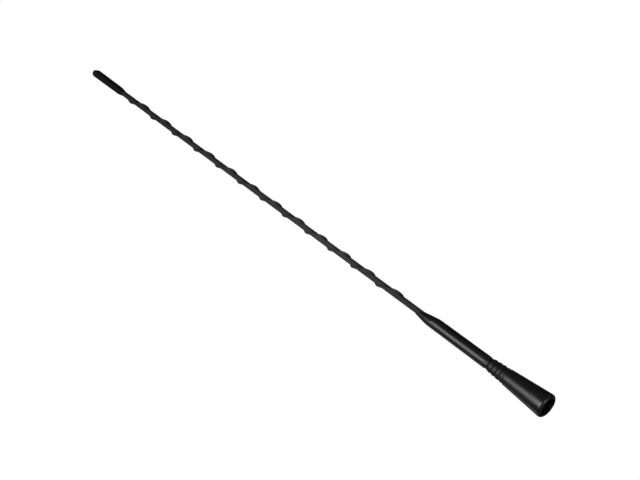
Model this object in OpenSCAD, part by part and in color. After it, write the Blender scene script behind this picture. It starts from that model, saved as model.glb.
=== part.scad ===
// Car mast aerial: a springy tapered rod with a wire wound round it under a shrunk jacket,
// a cap on its tip, and a moulded base with a grip, rings and a flared hollow foot.
// Z runs up the mast from the centre of the foot's mouth.

/* [Foot] */
// Outside diameter of the foot at its mouth
foot_d = 16.8; // [16:0.1:20]
// Outside diameter at the top of the foot's cone
foot_top_d = 11.1; // [10.9:0.1:12]
// Height of the foot's cone
foot_h = 33.5; // [31:0.5:44]
// Wall of the hollow foot
foot_wall = 2.4; // [2.3:0.1:2.6]
// Depth of the hollow, from the mouth to its flat roof
hollow_h = 20; // [16:0.5:23]
// Rounding of the rim's outer edge
rim_r = 1.9; // [0.6:0.1:2]
// Rounding of the rim's inner edge
rim_inner_r = 0.15; // [0.1:0.05:0.3]
// Rounding of the shoulder at the top of the cone
shoulder_r = 0.5; // [0.2:0.1:1]

/* [Rings] */
// Number of rings between the foot and the grip
ring_count = 4; // [2:1:6]
// Distance from one ring to the next
ring_pitch = 3.5; // [2.6:0.1:4]
// Depth of the sharp grooves between the round rings
ring_depth = 0.48; // [0.1:0.01:0.6]
// Diameter over the rings at the foot
ring_low_d = 10.6; // [10.4:0.1:11.4]
// Diameter over the rings at the grip
ring_top_d = 8.8; // [8.6:0.1:9.8]
// How late the rings grow slim on their way up, where 1 is a straight taper
ring_curve = 1.5; // [1:0.1:2.5]
// Length of the plain groove below the grip
groove_h = 2; // [1.5:0.1:4]

/* [Grip and neck] */
// Diameter of the grip at its lower end
grip_low_d = 8.5; // [8.4:0.1:11]
// Diameter of the grip at its upper end
grip_top_d = 7.9; // [7.8:0.1:10]
// Length of the grip, up to the middle of the slanted shoulder
grip_h = 46; // [40:0.5:70]
// Length of the grip's chamfered lower edge
grip_edge_h = 0.5; // [0.2:0.1:1]
// Length of the neck, from the shoulder to the jacket
neck_h = 10.7; // [8:0.1:16]
// How far the neck's ends stand above their middle on one side and below it on the other
neck_slant = 3; // [0:0.1:3.4]
// Thickness of the neck's lip round the jacket
lip_wall = 0.18; // [0.1:0.02:0.4]

/* [Rod] */
// Height of the whole mast
mast_h = 406; // [380:1:560]
// Diameter of the core rod at its lower end
core_low_d = 3.3; // [3:0.05:3.5]
// Diameter of the core rod at its upper end
core_top_d = 2.4; // [2:0.05:2.6]
// Length of the core rod inside the ferrule
core_seat_h = 22; // [18:1:24]
// Diameter of the aerial wire
wire_d = 0.85; // [0.5:0.05:0.95]
// Wall of the jacket
jacket_wall = 0.4; // [0.3:0.02:0.5]

/* [Winding] */
// Turns of the wire
turns = 11.8; // [8:0.1:14]
// Length of plain rod between the neck and the winding
winding_start_h = 14.5; // [3:0.5:20]
// Length of plain rod between the winding and the cap
winding_end_h = 8.5; // [3.4:0.1:12]
// How far the lowest turn leans: its two sides stand this much above and below an even helix
lean_low = 1.55; // [0:0.05:2]
// How far the highest turn leans
lean_top = 0.6; // [0:0.05:2]
// Length, in turns, over which the winding opens out towards its lower end
opening_turns = 2.5; // [0.5:0.1:4]
// How strongly it opens out there, where 0 is not at all
opening_power = 0.15; // [0.05:0.05:1]
// Hand of the winding: -1 is left-handed and 1 is right-handed
winding_hand = -1; // [-1, 1]

/* [Tip cap] */
// Diameter of the cap at the top of its tapered edge
cap_low_d = 5.1; // [5:0.05:6]
// Diameter of the cap near its rounded end
cap_top_d = 5.35; // [5.1:0.05:6]
// Length of the cap
cap_h = 28.5; // [20:0.5:40]
// Length of the cap's tapered lower edge
cap_taper_h = 3; // [1:0.1:4]
// Wall of the cap at its lower edge
cap_edge_wall = 0.2; // [0.2:0.05:0.4]
// Radius of the rounding at the cap's end
cap_round_r = 2.4; // [1:0.1:2.5]
// Width of the bevel on one side of the cap's end
cap_bevel_w = 2.4; // [1:0.1:2.5]
// Height of that bevel
cap_bevel_h = 3.7; // [1:0.1:4]
// Thickness of the cap's closed end
cap_end_wall = 5; // [4:0.5:8]

/* [Ferrule and stud] */
// Diameter of the ferrule's head, which is the roof of the hollow
ferrule_head_d = 7.6; // [7:0.1:7.8]
// Length of the ferrule's head
ferrule_head_h = 13.5; // [12.5:0.5:14]
// Diameter of the ferrule's shank
ferrule_d = 5.6; // [5.4:0.1:6]
// Length of the whole ferrule
ferrule_h = 40; // [38:1:46]
// Depth of the grooves that lock the ferrule in the moulding
lock_depth = 0.35; // [0.1:0.05:0.4]
// Width of these grooves
lock_w = 2; // [1:0.1:2.5]
// Depth of the slot that takes the end of the wire
wire_slot_h = 5; // [3:0.5:8]
// Outside diameter of the stud's thread
stud_d = 5; // [4:0.5:5]
// Length of the stud inside the ferrule
stud_seat_h = 12; // [8:1:12]
// Length of the stud that stands in the hollow
stud_free_h = 15; // [10:0.5:15]
// Chamfer on the stud's ends
stud_chamfer = 0.6; // [0.3:0.1:0.8]
// Length of the relief between the stud's two threads
relief_h = 1; // [0.5:0.1:2]
// Depth of that relief
relief_depth = 0.4; // [0.2:0.05:0.6]

/* [Fits] */
// Gap between pieces that are moulded or glued round each other
seat_gap = 0.05; // [0.04:0.01:0.08]
// Gap between the core and the wire, and between them and the jacket
winding_gap = 0.08; // [0.07:0.01:0.1]

/* [Smoothness] */
// Steps round each circle
round_steps = 64; // [32:8:96]
// Jacket rings in each turn of the winding
jacket_steps = 15; // [15:1:20]
// Wire rings in each turn of the winding
wire_steps = 14; // [14:1:20]

/* [Hidden] */

$fn = round_steps;
plastic = [0.035, 0.035, 0.038];
jacket_black = [0.06, 0.06, 0.064];
brass = [0.78, 0.62, 0.32];
steel = [0.62, 0.63, 0.65];
fibreglass = [0.80, 0.78, 0.62];
copper = [0.76, 0.42, 0.26];

// How far a cut runs past the surface that it opens
past = 1;
// Room left beyond each end of the jacket
jacket_end_room = 1;

// Heights along the mast
ring_zone_h = ring_count * ring_pitch;
grip_low_z = foot_h + ring_zone_h + groove_h;
shoulder_z = grip_low_z + grip_h;
neck_top_z = shoulder_z + neck_h;
ferrule_top_z = hollow_h + ferrule_h;
core_low_z = ferrule_top_z - core_seat_h;
cap_low_z = mast_h - cap_h;
core_top_z = mast_h - cap_end_wall;
jacket_low_z = ferrule_top_z + jacket_end_room;
jacket_top_z = core_top_z - jacket_end_room;
winding_low_z = neck_top_z + winding_start_h;
winding_top_z = cap_low_z - winding_end_h;
// The height that the opening takes, beyond that of its turns, in turns
opening_extra = opening_turns * opening_power / (opening_power + 1);
even_pitch = (winding_top_z - winding_low_z) / (turns + opening_extra);

// The wire lies at the back of the mast where it runs straight down to the ferrule
back = 90;
// Extra room inside the jacket, so that its flat facets stay clear of the wire and the core
facet_room = 0.12;
// Height over which the jacket closes down on the core above the end of the wire
fade_h = 2.4;

// Radii at a height
function core_r(z) = (core_low_d + (core_top_d - core_low_d)
    * (z - core_low_z) / (core_top_z - core_low_z)) / 2;
function wire_centre_r(z) = core_r(z) + wire_d / 2 + winding_gap;
function foot_r(z) = (foot_d + (foot_top_d - foot_d) * z / foot_h) / 2;
function grip_r(z) = (grip_low_d + (grip_top_d - grip_low_d) * (z - grip_low_z) / grip_h) / 2;
function ring_crest_r(z) = (ring_low_d
    + (ring_top_d - ring_low_d) * pow((z - foot_h) / ring_zone_h, ring_curve)) / 2;

// Outline, as a polar radius, of a sleeve stretched round the core and the wire beside it.
// ang is measured from the wire, and cover is the thickness that lies over both.
function stretched_r(ang, z, cover) =
    let (
        rc = core_r(z) + cover,
        rw = wire_d / 2 + cover,
        away = wire_centre_r(z),
        touch = acos((rc - rw) / away),
        nose = atan2(rw * sin(touch), away + rw * cos(touch)),
        a = abs(ang)
    )
    a >= touch ? rc
    : a >= nose ? rc / cos(touch - a)
    : away * cos(a) + sqrt(rw * rw - pow(away * sin(a), 2));
function fade(z) = min(1, max(0, 1 - (z - wire_end_z) / fade_h));
function sleeve_r(ang, z, cover) =
    let (plain = core_r(z) + cover)
    plain + (stretched_r(ang, z, cover) - plain) * fade(z);

// The winding at n turns from its lower end, as a height and an angle.
// The lowest turns open out, so that the ridge runs into the straight run below it.
function opened(n) =
    let (share = (opening_power + 1) * n / opening_turns)
    share < 1 ? opening_turns * pow(share, 1 / (opening_power + 1)) : n + opening_extra;
function even_z(n) = winding_low_z + even_pitch * opened(n);
function lean(n) = lean_low + (lean_top - lean_low) * n / turns;
function wound_angle(n) = back + winding_hand * 360 * n;
function station(n) = [even_z(n) - lean(n) * cos(wound_angle(n)), wound_angle(n)];
function wound(steps) =
    let (count = round(turns * steps))
    [for (i = [0:count]) station(turns * i / count)];
wire_end_z = station(turns)[0];

// Points of an arc round a centre
function arc(cx, cy, r, from, to, steps) = [for (i = [0:steps])
    let (a = from + (to - from) * i / steps)
    [cx + r * cos(a), cy + r * sin(a)]];

// Faces of a skin through rings of points. Each square is cut along the diagonal that the hand
// of the winding makes the shorter one.
function skin(rings, sides, hand) = [for (i = [0:rings - 2], j = [0:sides - 1])
    let (a = i * sides + j, b = i * sides + (j + 1) % sides, c = a + sides, d = b + sides)
    each hand < 0 ? [[a, c, d], [a, d, b]] : [[a, c, b], [b, c, d]]];
function flipped(faces, shift) = [for (f = faces) [f[0] + shift, f[2] + shift, f[1] + shift]];
// Faces of the flat ring between an outer and an inner circle of points
function rim(outer, inner, sides) = [for (j = [0:sides - 1])
    let (a = outer + j, b = outer + (j + 1) % sides, c = inner + j, d = inner + (j + 1) % sides)
    each [[a, b, c], [b, d, c]]];

// Half outline of the base, without its neck
rim_steps = 6;
wave_steps = 8;
shoulder_turn = 60;
base_outline = concat(
    arc(foot_r(rim_inner_r) - foot_wall + rim_inner_r, rim_inner_r, rim_inner_r, 180, 270, rim_steps / 2),
    arc(foot_r(rim_r) - rim_r, rim_r, rim_r, 270, 360, rim_steps),
    arc(foot_r(foot_h - shoulder_r) - shoulder_r, foot_h - shoulder_r, shoulder_r,
        0, shoulder_turn, rim_steps / 2),
    [for (i = [0:ring_count * wave_steps])
        let (z = foot_h + ring_pitch * i / wave_steps)
        [ring_crest_r(z) - ring_depth * (1 - abs(sin(180 * i / wave_steps))), z]],
    [[ring_top_d / 2 - ring_depth, grip_low_z],
     [grip_r(grip_low_z + grip_edge_h), grip_low_z + grip_edge_h]]);

// The neck is a loft: its rings tilt by the slant, and shrink from the grip to the jacket
neck_sides = 32;
neck_rings = 9;
neck_curve = 1.15;
neck_root_h = 3;
neck_root_z = shoulder_z - neck_slant - neck_root_h;
// The loft starts a little inside the round grip, and reaches down into it
neck_inset = 0.03;
neck_sink = 0.5;
neck_cover = jacket_wall + winding_gap + seat_gap + lip_wall;
function neck_ring(i) = let (t = i / (neck_rings - 1), level = shoulder_z + neck_h * t)
    [for (j = [0:neck_sides - 1])
        let (
            a = 360 * j / neck_sides,
            from_wire = abs((a - back + 540) % 360 - 180),
            slim = core_r(neck_top_z) + neck_cover,
            cone = grip_r(shoulder_z) + (slim - grip_r(shoulder_z)) * pow(t, neck_curve),
            r = max(cone, stretched_r(from_wire, level, neck_cover))
        )
        [r * cos(a), r * sin(a), level - neck_slant * cos(a)]];
function round_ring(r, z) = [for (j = [0:neck_sides - 1])
    let (a = 360 * j / neck_sides) [r * cos(a), r * sin(a), z]];

module neck() {
    rows = concat(
        [for (drop = [neck_sink, 0]) round_ring(grip_r(neck_root_z) - neck_inset, neck_root_z - drop)],
        [for (i = [0:neck_rings - 1]) neck_ring(i)]);
    points = concat([for (row = rows) each row], [[0, 0, neck_top_z]]);
    last = (len(rows) - 1) * neck_sides;
    faces = concat(
        [[for (j = [0:neck_sides - 1]) j]],
        skin(len(rows), neck_sides, 1),
        [for (j = [0:neck_sides - 1]) [last + j, len(points) - 1, last + (j + 1) % neck_sides]]);
    polyhedron(points, faces, convexity = 4);
}

// A straight bore that fits the jacket on its way down through the neck and the grip
module jacket_bore() {
    bore_cover = jacket_wall + winding_gap + seat_gap;
    bore_steps = 36;
    translate([0, 0, ferrule_top_z - seat_gap])
        linear_extrude(neck_top_z + 2 * neck_slant - ferrule_top_z)
            polygon([for (j = [0:bore_steps - 1])
                let (a = 360 * j / bore_steps, from_wire = a > 180 ? 360 - a : a)
                stretched_r(from_wire, jacket_low_z, bore_cover) * [cos(a + back), sin(a + back)]]);
}

// The ferrule's outside, grown by a gap and started lower by a drop where it cuts its own seat
module ferrule_blank(gap = 0, drop = 0) {
    translate([0, 0, hollow_h - drop])
        cylinder(d = ferrule_head_d + 2 * gap, h = ferrule_head_h + drop);
    translate([0, 0, hollow_h])
        cylinder(d = ferrule_d + 2 * gap, h = ferrule_h);
}

module base_moulding() {
    color(plastic)
        difference() {
            union() {
                rotate_extrude()
                    polygon(concat(base_outline,
                        [[grip_r(neck_root_z), neck_root_z], [0, neck_root_z], [0, hollow_h],
                         [foot_r(hollow_h) - foot_wall, hollow_h]]));
                neck();
            }
            ferrule_blank(seat_gap, past);
            jacket_bore();
        }
}

module lock_groove(d, z) {
    translate([0, 0, z])
        difference() {
            cylinder(d = d + 2 * past, h = lock_w);
            translate([0, 0, -past]) cylinder(d = d - 2 * lock_depth, h = lock_w + 2 * past);
        }
}

module ferrule() {
    shank_h = ferrule_h - ferrule_head_h;
    color(brass)
        difference() {
            ferrule_blank();
            for (i = [1, 2])
                lock_groove(ferrule_head_d, hollow_h + ferrule_head_h * i / 3 - lock_w / 2);
            for (i = [1:3])
                lock_groove(ferrule_d, hollow_h + ferrule_head_h + shank_h * i / 5);
            translate([0, 0, hollow_h - past])
                cylinder(d = stud_d + 2 * seat_gap, h = stud_seat_h + past);
            translate([0, 0, core_low_z])
                cylinder(d = core_low_d + 2 * seat_gap, h = core_seat_h + past);
            translate([0, 0, ferrule_top_z - wire_slot_h])
                rotate(back)
                    translate([0, -wire_d / 2 - seat_gap, 0])
                        cube([ferrule_d, wire_d + 2 * seat_gap, wire_slot_h + past]);
        }
}

module stud() {
    r = stud_d / 2;
    low = hollow_h - stud_free_h;
    top = hollow_h + stud_seat_h;
    color(steel)
        rotate_extrude()
            polygon([[0, low], [r - stud_chamfer, low], [r, low + stud_chamfer],
                     [r, hollow_h - relief_h], [r - relief_depth, hollow_h - relief_h],
                     [r - relief_depth, hollow_h], [r, hollow_h],
                     [r, top - stud_chamfer], [r - stud_chamfer, top], [0, top]]);
}

module core_rod() {
    color(fibreglass)
        translate([0, 0, core_low_z])
            cylinder(d1 = core_low_d, d2 = core_top_d, h = core_top_z - core_low_z);
}

module winding() {
    sides = 6;
    path = concat([[ferrule_top_z - wire_slot_h + seat_gap, back]], wound(wire_steps));
    n = len(path);
    centres = [for (s = path) let (r = wire_centre_r(s[0])) [r * cos(s[1]), r * sin(s[1]), s[0]]];
    points = [for (i = [0:n - 1])
        let (
            run = centres[min(n - 1, i + 1)] - centres[max(0, i - 1)],
            along = run / norm(run),
            across = cross(along, [cos(path[i][1]), sin(path[i][1]), 0]),
            side = across / norm(across),
            out = cross(side, along)
        )
        for (j = [0:sides - 1])
            let (a = 360 * j / sides)
            centres[i] + wire_d / 2 * (out * cos(a) + side * sin(a))];
    faces = concat(
        [[for (j = [0:sides - 1]) j]],
        skin(n, sides, 1),
        [[for (j = [sides - 1:-1:0]) (n - 1) * sides + j]]);
    color(copper) polyhedron(points, faces, convexity = 20);
}

// Angles from the ridge at which the jacket's skin has its points
skin_angles = [-146, -113, -83, -56, -35, -15, 0, 15, 35, 56, 83, 113, 146, 180];

module jacket() {
    sides = len(skin_angles);
    end = wound_angle(turns);
    path = concat(
        [[jacket_low_z, back]],
        wound(jacket_steps),
        [[wire_end_z + fade_h / 2, end], [wire_end_z + fade_h, end], [jacket_top_z, end]]);
    n = len(path);
    outer_cover = winding_gap + jacket_wall;
    inner_cover = winding_gap + facet_room;
    points = [for (cover = [outer_cover, inner_cover], s = path, q = skin_angles)
        let (r = sleeve_r(q, s[0], cover), a = s[1] + q)
        [r * cos(a), r * sin(a), s[0]]];
    inner = n * sides;
    last = (n - 1) * sides;
    faces = concat(
        skin(n, sides, winding_hand),
        flipped(skin(n, sides, winding_hand), inner),
        rim(0, inner, sides),
        flipped(rim(last, inner + last, sides), 0));
    color(jacket_black) polyhedron(points, faces, convexity = 20);
}

module tip_cap() {
    bore_r = core_r(cap_low_z) + winding_gap + jacket_wall + seat_gap;
    end_z = mast_h - cap_round_r;
    end_steps = 8;
    cutter = 4 * cap_top_d;
    color(plastic)
        difference() {
            rotate_extrude()
                polygon(concat(
                    [[0, cap_low_z], [bore_r + cap_edge_wall, cap_low_z],
                     [cap_low_d / 2, cap_low_z + cap_taper_h]],
                    arc(cap_top_d / 2 - cap_round_r, end_z, cap_round_r, 0, 90, end_steps),
                    [[0, mast_h]]));
            translate([0, 0, cap_low_z - past])
                cylinder(r = bore_r, h = core_top_z - cap_low_z + past);
            translate([cap_top_d / 2 - cap_bevel_w, 0, mast_h])
                rotate([0, atan(cap_bevel_h / cap_bevel_w), 0])
                    translate([-cutter / 2, -cutter / 2, 0])
                        cube(cutter);
        }
}

base_moulding();
ferrule();
stud();
core_rod();
winding();
jacket();
tip_cap();
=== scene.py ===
"""Looks of the car mast aerial: materials, the stud's thread, finer skins, the stage, lamps and camera."""
import math

import bmesh
import bpy
from mathutils import Matrix, Vector


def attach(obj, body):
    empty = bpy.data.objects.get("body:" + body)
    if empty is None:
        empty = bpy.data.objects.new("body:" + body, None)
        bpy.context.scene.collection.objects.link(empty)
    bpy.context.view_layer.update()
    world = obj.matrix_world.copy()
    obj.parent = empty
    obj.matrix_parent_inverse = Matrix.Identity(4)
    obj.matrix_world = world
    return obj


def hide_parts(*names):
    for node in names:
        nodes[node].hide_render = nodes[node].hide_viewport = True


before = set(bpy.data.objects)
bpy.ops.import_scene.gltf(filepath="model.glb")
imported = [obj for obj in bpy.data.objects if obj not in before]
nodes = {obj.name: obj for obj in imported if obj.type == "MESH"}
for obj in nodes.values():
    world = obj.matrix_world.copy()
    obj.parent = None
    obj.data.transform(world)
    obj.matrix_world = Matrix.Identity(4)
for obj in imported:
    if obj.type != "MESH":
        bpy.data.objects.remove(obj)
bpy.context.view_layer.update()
MM = 0.001


# Camera: the mast's foot leans towards it, and the mast runs down the picture to the right
PHOTO_W = 640
PHOTO_H = 480
FOCAL_PX = 3240
LEAN = math.radians(27.4)
ROLL = math.radians(53.51)
AIM = Vector((0, 0, 194.4 * MM))
AIM_PX = (320.31, 238.82)
DISTANCE = 2.0648


def make_camera():
    to_camera = Vector((0, -math.cos(LEAN), -math.sin(LEAN)))
    level = Vector((1, 0, 0))
    rising = Vector((0, -math.sin(LEAN), math.cos(LEAN)))
    right = math.cos(ROLL) * level - math.sin(ROLL) * rising
    up = math.sin(ROLL) * level + math.cos(ROLL) * rising
    metres_per_px = DISTANCE / FOCAL_PX
    place = (AIM + to_camera * DISTANCE
             - right * (AIM_PX[0] - PHOTO_W / 2) * metres_per_px
             - up * (PHOTO_H / 2 - AIM_PX[1]) * metres_per_px)
    data = bpy.data.cameras.new("camera")
    data.sensor_width = 36
    data.lens = FOCAL_PX / PHOTO_W * data.sensor_width
    camera = bpy.data.objects.new("camera", data)
    camera.matrix_world = Matrix((
        (right.x, up.x, to_camera.x, place.x),
        (right.y, up.y, to_camera.y, place.y),
        (right.z, up.z, to_camera.z, place.z),
        (0, 0, 0, 1)))
    bpy.context.scene.collection.objects.link(camera)
    bpy.context.scene.camera = camera


make_camera()


# Material helpers. Most of a noise lies between these two values, which become its ends.
NOISE_LOW = 0.3
NOISE_HIGH = 0.7


class Nodes:
    """Short calls for the nodes of one material."""

    def __init__(self, tree):
        self.tree = tree

    def add(self, kind, **settings):
        node = self.tree.nodes.new("ShaderNode" + kind)
        for name, value in settings.items():
            setattr(node, name, value)
        return node

    def link(self, out, socket):
        self.tree.links.new(out, socket)

    def noise(self, vector, scale, detail=2.0, roughness=0.5):
        node = self.add("TexNoise")
        node.inputs["Scale"].default_value = scale
        node.inputs["Detail"].default_value = detail
        node.inputs["Roughness"].default_value = roughness
        self.link(vector, node.inputs["Vector"])
        return node.outputs["Fac"]

    def spread(self, value, low, high):
        node = self.add("MapRange")
        node.inputs["From Min"].default_value = NOISE_LOW
        node.inputs["From Max"].default_value = NOISE_HIGH
        node.inputs["To Min"].default_value = low
        node.inputs["To Max"].default_value = high
        self.link(value, node.inputs["Value"])
        return node.outputs["Result"]

    def tint(self, value, dark, light):
        node = self.add("ValToRGB")
        node.color_ramp.elements[0].position = NOISE_LOW
        node.color_ramp.elements[1].position = NOISE_HIGH
        node.color_ramp.elements[0].color = (*dark, 1)
        node.color_ramp.elements[1].color = (*light, 1)
        self.link(value, node.inputs["Fac"])
        return node.outputs["Color"]

    def bump(self, height, distance):
        node = self.add("Bump")
        node.inputs["Strength"].default_value = 1
        node.inputs["Distance"].default_value = distance
        self.link(height, node.inputs["Height"])
        return node.outputs["Normal"]

    def math(self, operation, one, other):
        node = self.add("Math", operation=operation)
        self.link(one, node.inputs[0])
        self.link(other, node.inputs[1])
        return node.outputs[0]


def new_material(name):
    material = bpy.data.materials.new(name)
    material.use_nodes = True
    tree = Nodes(material.node_tree)
    shader = material.node_tree.nodes["Principled BSDF"]
    place = tree.add("TexCoord").outputs["Object"]
    return material, tree, shader, place


def stretched(tree, place, along):
    """The place with Z scaled, so that a pattern on it runs along or round the mast."""
    node = tree.add("Mapping")
    node.inputs["Scale"].default_value = (1, 1, along)
    tree.link(place, node.inputs["Vector"])
    return node.outputs["Vector"]


def by_height(tree, place, stops):
    """A value that changes up the mast, from stops of a height in millimetres and a value."""
    height = tree.add("SeparateXYZ")
    tree.link(place, height.inputs[0])
    share = tree.add("Math", operation="DIVIDE")
    tree.link(height.outputs["Z"], share.inputs[0])
    share.inputs[1].default_value = stops[-1][0] * MM
    ramp = tree.add("ValToRGB")
    elements = ramp.color_ramp.elements
    while len(elements) < len(stops):
        elements.new(1)
    for element, (z, value) in zip(elements, stops):
        element.position = z / stops[-1][0]
        element.color = (value, value, value, 1)
    tree.link(share.outputs[0], ramp.inputs["Fac"])
    return ramp.outputs["Color"]


# Scales of the noises, in waves per metre, and how far they are stretched along or round the mast
PATCHES = 90
STREAKS = 900
STREAK_STRETCH = 0.04
METAL_PATCHES = 300
TOOL_RING_STRETCH = 12


def plastic(name, dark, light, roughness, grain_mm, grain_depth_mm, specular=0.5,
            streaks=False, worn=None, tone=None):
    """Plastic with a fine grain and slow changes of gloss and tone. Streaks run along the mast.
    Worn adds to the roughness at each height. Tone multiplies the colour at each height, as painted light
    and shade."""
    material, tree, shader, place = new_material(name)
    if streaks:
        slow = tree.noise(stretched(tree, place, STREAK_STRETCH), STREAKS, 3)
    else:
        slow = tree.noise(place, PATCHES, 3)
    grain = tree.noise(place, 1 / (grain_mm * MM), 2, 0.6)
    colour = tree.tint(slow, dark, light)
    # Tone paints light and shade into the colour: a multiplier at each height up the mast
    if tone is not None:
        painted_light_and_shade = tree.add("VectorMath", operation="MULTIPLY")
        tree.link(colour, painted_light_and_shade.inputs[0])
        tree.link(by_height(tree, place, tone), painted_light_and_shade.inputs[1])
        colour = painted_light_and_shade.outputs[0]
    tree.link(colour, shader.inputs["Base Color"])
    gloss = tree.spread(slow, roughness[0], roughness[1])
    if worn is not None:
        gloss = tree.math("ADD", gloss, by_height(tree, place, worn))
    tree.link(gloss, shader.inputs["Roughness"])
    tree.link(tree.bump(grain, grain_depth_mm * MM), shader.inputs["Normal"])
    shader.inputs["Specular IOR Level"].default_value = specular
    return material


def metal(name, dark, light, roughness, ring_mm, ring_depth_mm):
    """Turned metal: fine rings left by the tool, and slow changes of tone."""
    material, tree, shader, place = new_material(name)
    shader.inputs["Metallic"].default_value = 1
    slow = tree.noise(place, METAL_PATCHES, 3)
    rings = tree.noise(stretched(tree, place, TOOL_RING_STRETCH),
                       1 / (ring_mm * MM) / TOOL_RING_STRETCH, 2)
    tree.link(tree.tint(slow, dark, light), shader.inputs["Base Color"])
    tree.link(tree.spread(rings, roughness[0], roughness[1]), shader.inputs["Roughness"])
    tree.link(tree.bump(rings, ring_depth_mm * MM), shader.inputs["Normal"])
    return material


def dress(obj, material):
    obj.data.materials.clear()
    obj.data.materials.append(material)


# The moulding's tone darkens its colour to 0.3 over the ringed stretch, 31 to 52 mm up: painted shade of
# the grooves
moulded = plastic("moulded_plastic", (0.006, 0.006, 0.0063), (0.010, 0.010, 0.0103),
                  (0.27, 0.32), 0.5, 0.004,
                  worn=[(0, 0), (4.5, 0), (8, 0.08), (31, 0.08), (34, 0.22), (46, 0.22), (52, 0.05),
                        (110, 0.05)],
                  tone=[(0, 1), (31, 1), (34, 0.3), (46, 0.3), (52, 1), (110, 1)])
# The jacket's tone is painted light and shade: lighter round 180 mm up, and darker towards the tip, where
# less lamp light falls
jacket_skin = plastic("jacket_skin", (0.020, 0.020, 0.0205), (0.034, 0.034, 0.0345),
                      (0.66, 0.84), 0.25, 0.02, 0.25, streaks=True,
                      tone=[(0, 0.85), (110, 0.85), (180, 1.3), (400, 0.35)])
cap_skin = plastic("cap_skin", (0.002, 0.002, 0.0021), (0.005, 0.005, 0.0052),
                   (0.62, 0.74), 0.3, 0.012, 0.11)
brass = metal("turned_brass", (0.62, 0.44, 0.17), (0.80, 0.62, 0.30), (0.22, 0.38), 0.12, 0.003)
steel = metal("plated_steel", (0.50, 0.51, 0.52), (0.68, 0.69, 0.70), (0.25, 0.42), 0.2, 0.003)
copper = metal("drawn_copper", (0.70, 0.32, 0.18), (0.84, 0.45, 0.28), (0.25, 0.35), 0.1, 0.002)
fibreglass = plastic("fibreglass", (0.50, 0.48, 0.34), (0.66, 0.64, 0.48), (0.35, 0.5), 0.2, 0.01)

dress(nodes["base_moulding"], moulded)
dress(nodes["jacket"], jacket_skin)
dress(nodes["tip_cap"], cap_skin)
dress(nodes["ferrule"], brass)
dress(nodes["stud"], steel)
dress(nodes["winding"], copper)
dress(nodes["core_rod"], fibreglass)


# Sizes in millimetres and angles in degrees, as in the part's source
FOOT_D = 16.8
FOOT_TOP_D = 11.1
FOOT_H = 33.5
FOOT_WALL = 2.4
HOLLOW_H = 20
RIM_R = 1.9
RIM_INNER_R = 0.15
SHOULDER_R = 0.5
SHOULDER_TURN = 60
RING_COUNT = 4
RING_PITCH = 3.5
RING_DEPTH = 0.48
RING_CURVE = 1.5
RING_LOW_D = 10.6
RING_TOP_D = 8.8
GRIP_LOW_D = 8.5
GRIP_TOP_D = 7.9
GRIP_LOW_Z = 49.5
GRIP_EDGE_H = 0.5
SHOULDER_Z = 95.5
NECK_H = 10.7
NECK_SLANT = 3
NECK_CURVE = 1.15
NECK_ROOT_Z = 89.5
CORE_LOW_D = 3.3
CORE_TOP_D = 2.4
CORE_LOW_Z = 38
CORE_TOP_Z = 401
WIRE_D = 0.85
JACKET_WALL = 0.4
LIP_WALL = 0.18
SEAT_GAP = 0.05
WINDING_GAP = 0.08
FACET_ROOM = 0.12
JACKET_LOW_Z = 61
JACKET_TOP_Z = 400
FADE_H = 2.4
WINDING_LOW_Z = 120.7
WINDING_TOP_Z = 369
TURNS = 11.8
HAND = -1
BACK = 90
LEAN_LOW = 1.55
LEAN_TOP = 0.6
OPENING_TURNS = 2.5
OPENING_POWER = 0.15
FERRULE_HEAD_D = 7.6
FERRULE_HEAD_TOP_Z = 33.5
FERRULE_D = 5.6
FERRULE_TOP_Z = 60
STUD_D = 5
STUD_LOW_Z = 5
STUD_TOP_Z = 32
STUD_CHAMFER = 0.6
RELIEF_LOW_Z = 19
RELIEF_DEPTH = 0.4


# Mesh helpers
LONGEST_RUN = 1
MERGED_WITHIN = 1e-4
SHARP_ANGLE = 35


def polar(r, angle, z):
    a = math.radians(angle)
    return r * math.cos(a), r * math.sin(a), z


def arc(cx, cz, r, start, end, steps):
    angles = [math.radians(start + (end - start) * i / steps) for i in range(steps + 1)]
    return [(cx + r * math.cos(a), cz + r * math.sin(a)) for a in angles]


def filled(outline):
    """The outline with points added, so that no run between two of them is too long."""
    points = [outline[0]]
    for here, there in zip(outline, outline[1:]):
        steps = max(1, math.ceil(math.dist(here, there) / LONGEST_RUN))
        for i in range(1, steps + 1):
            points.append(tuple(h + (t - h) * i / steps for h, t in zip(here, there)))
    return points


def linked(rows, closed=True):
    """Faces between neighbouring rows of points. The last row meets the first if closed."""
    sides = len(rows[0])
    count = len(rows)
    return [(i * sides + j, i * sides + (j + 1) % sides,
             (i + 1) % count * sides + (j + 1) % sides, (i + 1) % count * sides + j)
            for i in range(count if closed else count - 1) for j in range(sides)]


def piece(name, rows, faces, node, material):
    """A closed mesh that stands for a CAD node: smooth, with its sharpest edges kept."""
    mesh = bpy.data.meshes.new(name)
    mesh.from_pydata([[c * MM for c in point] for row in rows for point in row], [], faces)
    work = bmesh.new()
    work.from_mesh(mesh)
    bmesh.ops.remove_doubles(work, verts=work.verts, dist=MERGED_WITHIN * MM)
    work.to_mesh(mesh)
    work.free()
    mesh.shade_smooth()
    mesh.set_sharp_from_angle(angle=math.radians(SHARP_ANGLE))
    obj = bpy.data.objects.new(name, mesh)
    bpy.context.scene.collection.objects.link(obj)
    dress(obj, material)
    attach(obj, "root")
    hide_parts(node)


# Radii at a height
def core_r(z):
    return (CORE_LOW_D + (CORE_TOP_D - CORE_LOW_D) * (z - CORE_LOW_Z) / (CORE_TOP_Z - CORE_LOW_Z)) / 2


def foot_r(z):
    return (FOOT_D + (FOOT_TOP_D - FOOT_D) * z / FOOT_H) / 2


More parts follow.
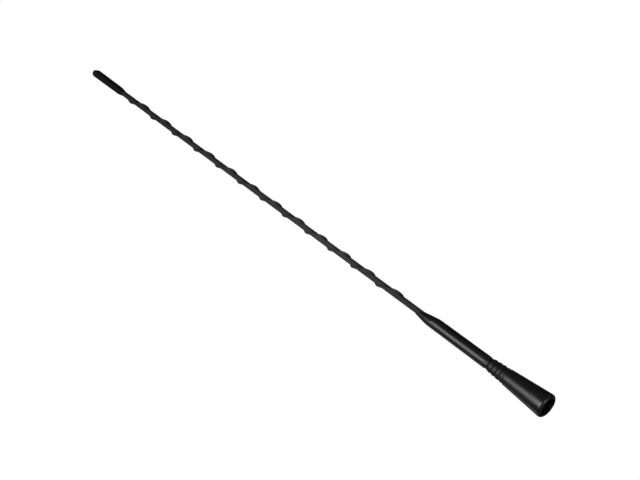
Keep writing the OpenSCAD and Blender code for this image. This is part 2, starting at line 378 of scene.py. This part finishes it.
def grip_r(z):
    return (GRIP_LOW_D + (GRIP_TOP_D - GRIP_LOW_D) * (z - GRIP_LOW_Z) / (SHOULDER_Z - GRIP_LOW_Z)) / 2


def ring_crest_r(z):
    share = (z - FOOT_H) / (RING_COUNT * RING_PITCH)
    return (RING_LOW_D + (RING_TOP_D - RING_LOW_D) * share ** RING_CURVE) / 2


def stretched_r(from_wire, z, cover):
    """Polar radius of a sleeve stretched round the core and the wire beside it."""
    rc = core_r(z) + cover
    rw = WIRE_D / 2 + cover
    away = core_r(z) + WIRE_D / 2 + WINDING_GAP
    touch = math.acos((rc - rw) / away)
    nose = math.atan2(rw * math.sin(touch), away + rw * math.cos(touch))
    a = math.radians(abs(from_wire))
    if a >= touch:
        return rc
    if a >= nose:
        return rc / math.cos(touch - a)
    return away * math.cos(a) + math.sqrt(rw ** 2 - (away * math.sin(a)) ** 2)


# Base moulding: a turned outline up to the grip, a slanted neck, and the seats inside
BASE_SIDES = 96
RIM_INNER_STEPS = 6
RIM_STEPS = 16
FOOT_SHOULDER_STEPS = 8
RING_STEPS = 24
GRIP_END_STEPS = 6
NECK_STEPS = 28


def base_outline():
    rings = []
    for i in range(RING_COUNT * RING_STEPS + 1):
        z = FOOT_H + RING_PITCH * i / RING_STEPS
        rings.append((ring_crest_r(z) - RING_DEPTH * (1 - abs(math.sin(math.pi * i / RING_STEPS))), z))
    inner_x = foot_r(RIM_INNER_R) - FOOT_WALL + RIM_INNER_R
    outer_x = foot_r(RIM_R) - RIM_R
    shoulder_z = FOOT_H - SHOULDER_R
    edge_z = GRIP_LOW_Z + GRIP_EDGE_H
    return (arc(inner_x, RIM_INNER_R, RIM_INNER_R, 180, 270, RIM_INNER_STEPS)
            + arc(outer_x, RIM_R, RIM_R, 270, 360, RIM_STEPS)
            + arc(foot_r(shoulder_z) - SHOULDER_R, shoulder_z, SHOULDER_R,
                  0, SHOULDER_TURN, FOOT_SHOULDER_STEPS)
            + rings
            + [(RING_TOP_D / 2 - RING_DEPTH, GRIP_LOW_Z),
               (grip_r(edge_z), edge_z),
               (grip_r(NECK_ROOT_Z), NECK_ROOT_Z)])


def base_column(angle):
    """Points of the base at one angle, up its outside and down its inside."""
    from_wire = abs((angle - BACK + 540) % 360 - 180)
    cover = JACKET_WALL + WINDING_GAP + SEAT_GAP
    slant = NECK_SLANT * math.cos(math.radians(angle))
    slim = core_r(SHOULDER_Z + NECK_H) + cover + LIP_WALL
    outside = filled(base_outline())
    for i in range(1, GRIP_END_STEPS + 1):
        z = NECK_ROOT_Z + (SHOULDER_Z - NECK_ROOT_Z) * i / GRIP_END_STEPS
        outside.append((grip_r(z), z - slant * i / GRIP_END_STEPS))
    for i in range(1, NECK_STEPS + 1):
        t = i / NECK_STEPS
        level = SHOULDER_Z + NECK_H * t
        cone = grip_r(SHOULDER_Z) + (slim - grip_r(SHOULDER_Z)) * t ** NECK_CURVE
        outside.append((max(cone, stretched_r(from_wire, level, cover + LIP_WALL)), level - slant))
    bore = stretched_r(from_wire, JACKET_LOW_Z, cover)
    lip_z = SHOULDER_Z + NECK_H - slant * bore / outside[-1][0]
    head_r = FERRULE_HEAD_D / 2 + SEAT_GAP
    ferrule_r = FERRULE_D / 2 + SEAT_GAP
    inside = filled([(head_r, HOLLOW_H),
                     (foot_r(HOLLOW_H) - FOOT_WALL, HOLLOW_H),
                     (foot_r(RIM_INNER_R) - FOOT_WALL, RIM_INNER_R)])
    seats = [(bore, lip_z),
             (bore, FERRULE_TOP_Z),
             (ferrule_r, FERRULE_TOP_Z),
             (ferrule_r, FERRULE_HEAD_TOP_Z),
             (head_r, FERRULE_HEAD_TOP_Z)]
    return outside + seats + inside[:-1]


def make_base():
    angles = [360 * j / BASE_SIDES for j in range(BASE_SIDES)]
    columns = [[polar(r, a, z) for r, z in base_column(a)] for a in angles]
    rows = list(zip(*columns))
    piece("base_shell", rows, linked(rows), "base_moulding", moulded)


# Jacket: rows of points that turn with the wire, so that the ridge runs along the mesh
SLEEVE_ROWS = 44
SLEEVE_INNER_ROWS = 22
FADE_STEPS = 8
SLEEVE_ANGLES = (list(range(-174, -60, 12)) + list(range(-60, -24, 6)) + list(range(-24, 24, 4))
                 + list(range(24, 60, 6)) + list(range(60, 181, 12)))


def opened(n):
    share = (OPENING_POWER + 1) * n / OPENING_TURNS
    extra = OPENING_TURNS * OPENING_POWER / (OPENING_POWER + 1)
    return OPENING_TURNS * share ** (1 / (OPENING_POWER + 1)) if share < 1 else n + extra


def station(n):
    """Height and angle of the wire at n turns from the winding's lower end."""
    angle = BACK + HAND * 360 * n
    even_z = WINDING_LOW_Z + (WINDING_TOP_Z - WINDING_LOW_Z) * opened(n) / opened(TURNS)
    lean = LEAN_LOW + (LEAN_TOP - LEAN_LOW) * n / TURNS
    return even_z - lean * math.cos(math.radians(angle)), angle


def sleeve_path(rows_per_turn):
    count = round(TURNS * rows_per_turn)
    wire_end_z, end = station(TURNS)
    path = [(JACKET_LOW_Z, BACK)] + [station(TURNS * i / count) for i in range(count + 1)]
    path += [(wire_end_z + FADE_H * i / FADE_STEPS, end) for i in range(1, FADE_STEPS + 1)]
    return path + [(JACKET_TOP_Z, end)]


def sleeve_row(z, angle, cover):
    fade = min(1, max(0, 1 - (z - station(TURNS)[0]) / FADE_H))
    plain = core_r(z) + cover
    return [polar(plain + (stretched_r(q, z, cover) - plain) * fade, angle + q, z)
            for q in SLEEVE_ANGLES]


def make_sleeve():
    outside = [sleeve_row(z, a, WINDING_GAP + JACKET_WALL) for z, a in sleeve_path(SLEEVE_ROWS)]
    inside = [sleeve_row(z, a, WINDING_GAP + FACET_ROOM) for z, a in sleeve_path(SLEEVE_INNER_ROWS)]
    rows = outside + inside[::-1]
    piece("sleeve", rows, linked(rows), "jacket", jacket_skin)


# Stud: an M5 x 0.8 right-hand thread below the relief, and the plain seat in the ferrule above it
THREAD_PITCH = 0.8
THREAD_DEPTH = 0.49
THREAD_SIDES = 48
# One pitch of the thread's outline: share of the pitch, and share of the depth
THREAD_OUTLINE = [(0, 0), (0.125, 0), (0.46, 0.92), (0.51, 0.98), (0.5625, 1),
                  (0.615, 0.98), (0.665, 0.92), (1, 0)]
RUN_OUT_H = 0.8
RUN_OUT_DEPTH = 0.3


def thread_r(turn, z):
    share = turn % 1
    for (s0, d0), (s1, d1) in zip(THREAD_OUTLINE, THREAD_OUTLINE[1:]):
        if share <= s1:
            depth = THREAD_DEPTH * (d0 + (d1 - d0) * (share - s0) / (s1 - s0))
            break
    run_out = THREAD_DEPTH - (THREAD_DEPTH - RUN_OUT_DEPTH) * max(0, (z - RELIEF_LOW_Z) / RUN_OUT_H + 1)
    chamfer = STUD_CHAMFER - (z - STUD_LOW_Z)
    return STUD_D / 2 - max(min(depth, run_out), chamfer)


def make_stud():
    # A row climbs by one pitch round the stud, and its end meets the row that starts there.
    # Where rows run past the ends of the thread, their points lie on the end, and are merged.
    per_pitch = len(THREAD_OUTLINE) - 1
    pitches = math.ceil((RELIEF_LOW_Z - STUD_LOW_Z) / THREAD_PITCH) + 2
    rows = []
    for i in range(pitches * per_pitch + 1):
        start = i // per_pitch + THREAD_OUTLINE[i % per_pitch][0] - 1
        row = []
        for j in range(THREAD_SIDES):
            z = STUD_LOW_Z + THREAD_PITCH * (start + j / THREAD_SIDES)
            z = min(max(z, STUD_LOW_Z), RELIEF_LOW_Z)
            turn = (z - STUD_LOW_Z) / THREAD_PITCH - j / THREAD_SIDES
            row.append(polar(thread_r(turn, z), 360 * j / THREAD_SIDES, z))
        rows.append(row)
    faces = []
    last = len(rows) - 1
    for i in range(last):
        for j in range(THREAD_SIDES):
            if j == THREAD_SIDES - 1:
                k = 0
                low = min(i + per_pitch, last)
                top = min(i + 1 + per_pitch, last)
            else:
                k = j + 1
                low = i
                top = i + 1
            faces.append((i * THREAD_SIDES + j, low * THREAD_SIDES + k,
                          top * THREAD_SIDES + k, (i + 1) * THREAD_SIDES + j))
    r = STUD_D / 2
    shank = [(r - RELIEF_DEPTH, RELIEF_LOW_Z),
             (r - RELIEF_DEPTH, HOLLOW_H),
             (r, HOLLOW_H),
             (r, STUD_TOP_Z - STUD_CHAMFER),
             (r - STUD_CHAMFER, STUD_TOP_Z)]
    for radius, z in shank:
        rows.append([polar(radius, 360 * j / THREAD_SIDES, z) for j in range(THREAD_SIDES)])
    first = last * THREAD_SIDES
    faces += [tuple(first + v for v in face) for face in linked(rows[last:], closed=False)]
    end = (len(rows) - 1) * THREAD_SIDES
    faces.append(tuple(range(end, end + THREAD_SIDES)))
    faces.append(tuple(reversed(range(THREAD_SIDES))))
    piece("threaded_stud", rows, faces, "stud", steel)


make_base()
make_sleeve()
make_stud()


# Stage: a plain pale floor, well below so that the mast is seen freely from underneath too.
# Gloss and glass see its glow, and the white round it, dimmed to a share.
FLOOR_DROP = 3.2
FLOOR_HALF = 3
FLOOR_GLOW = 0.7
FLOOR_ROUGHNESS = 0.9
GLOSS_SHARE = 0.15


def seen_as_white(tree, height=None):
    """1 for rays from the camera, and a share for those off gloss or through glass. A height, from
    0 to 1, multiplies that share where it is given."""
    path = tree.add("LightPath")
    indirect = tree.math("MAXIMUM", path.outputs["Is Glossy Ray"], path.outputs["Is Transmission Ray"])
    share = tree.add("Math", operation="MULTIPLY")
    tree.link(indirect, share.inputs[0])
    share.inputs[1].default_value = GLOSS_SHARE
    seen = share.outputs[0]
    if height is not None:
        seen = tree.math("MULTIPLY", seen, height)
    return tree.math("MAXIMUM", path.outputs["Is Camera Ray"], seen)


def make_floor():
    mesh = bpy.data.meshes.new("floor")
    h = FLOOR_HALF
    mesh.from_pydata([(-h, -h, 0), (h, -h, 0), (h, h, 0), (-h, h, 0)], [], [(0, 1, 2, 3)])
    floor = bpy.data.objects.new("floor", mesh)
    floor.location.z = -FLOOR_DROP
    bpy.context.scene.collection.objects.link(floor)
    material, tree, shader, place = new_material("pale_floor")
    tone = tree.tint(tree.noise(place, 2), (0.80, 0.80, 0.79), (0.84, 0.84, 0.83))
    tree.link(tone, shader.inputs["Base Color"])
    shader.inputs["Roughness"].default_value = FLOOR_ROUGHNESS
    shader.inputs["Emission Color"].default_value = (1, 1, 1, 1)
    glow = tree.add("Math", operation="MULTIPLY")
    glow.inputs[1].default_value = FLOOR_GLOW
    tree.link(seen_as_white(tree), glow.inputs[0])
    tree.link(glow.outputs[0], shader.inputs["Emission Strength"])
    dress(floor, material)


make_floor()


# World: white where the camera sees it, and a plain dim light on the mast. Gloss sees a share of
# the white only well below the horizon, and the dim light everywhere else. The two limits are
# the Z of a direction: above the first there is none of that white, and below the second all.
WORLD_LIGHT = 0.02
WHITE_FROM = -0.5
WHITE_FULL = -0.8


def make_world():
    world = bpy.data.worlds.new("studio")
    bpy.context.scene.world = world
    world.use_nodes = True
    tree = Nodes(world.node_tree)
    background = world.node_tree.nodes["Background"]
    background.inputs["Color"].default_value = (1, 1, 1, 1)
    direction = tree.add("SeparateXYZ")
    tree.link(tree.add("TexCoord").outputs["Generated"], direction.inputs[0])
    low_white = tree.add("MapRange", interpolation_type="SMOOTHSTEP")
    low_white.inputs["From Min"].default_value = WHITE_FROM
    low_white.inputs["From Max"].default_value = WHITE_FULL
    tree.link(direction.outputs["Z"], low_white.inputs["Value"])
    strength = tree.add("Math", operation="MULTIPLY_ADD")
    tree.link(seen_as_white(tree, low_white.outputs["Result"]), strength.inputs[0])
    strength.inputs[1].default_value = 1 - WORLD_LIGHT
    strength.inputs[2].default_value = WORLD_LIGHT
    tree.link(strength.outputs[0], background.inputs["Strength"])


make_world()


# Lamps, placed by their direction from the middle of the mast: azimuth 0 is the near side
# and 90 the +X side, in degrees
def lamp(name, azimuth, elevation, distance, width, height, watts):
    a = math.radians(azimuth)
    e = math.radians(elevation)
    towards = Vector((math.sin(a) * math.cos(e), -math.cos(a) * math.cos(e), math.sin(e)))
    data = bpy.data.lights.new(name, "AREA")
    data.shape = "RECTANGLE"
    data.size = width
    data.size_y = height
    data.energy = watts
    obj = bpy.data.objects.new(name, data)
    obj.location = AIM + towards * distance
    obj.rotation_euler = (-towards).to_track_quat("-Z", "Y").to_euler()
    bpy.context.scene.collection.objects.link(obj)


lamp("key", -24, 7, 1.8, 1.2, 1.7, 36)
lamp("glint", 43, -67, 1.78, 0.3, 0.3, 7)
lamp("fill", -125, 10, 1.8, 1.4, 1.6, 3)
lamp("back", 180, 62, 1.8, 1.6, 0.8, 6)
lamp("low_back", 165, -5, 1.8, 1.6, 0.5, 1.2)
lamp("low_right", 85, -5, 1.8, 1.0, 0.5, 0.8)

bpy.context.scene.view_settings.view_transform = "Standard"
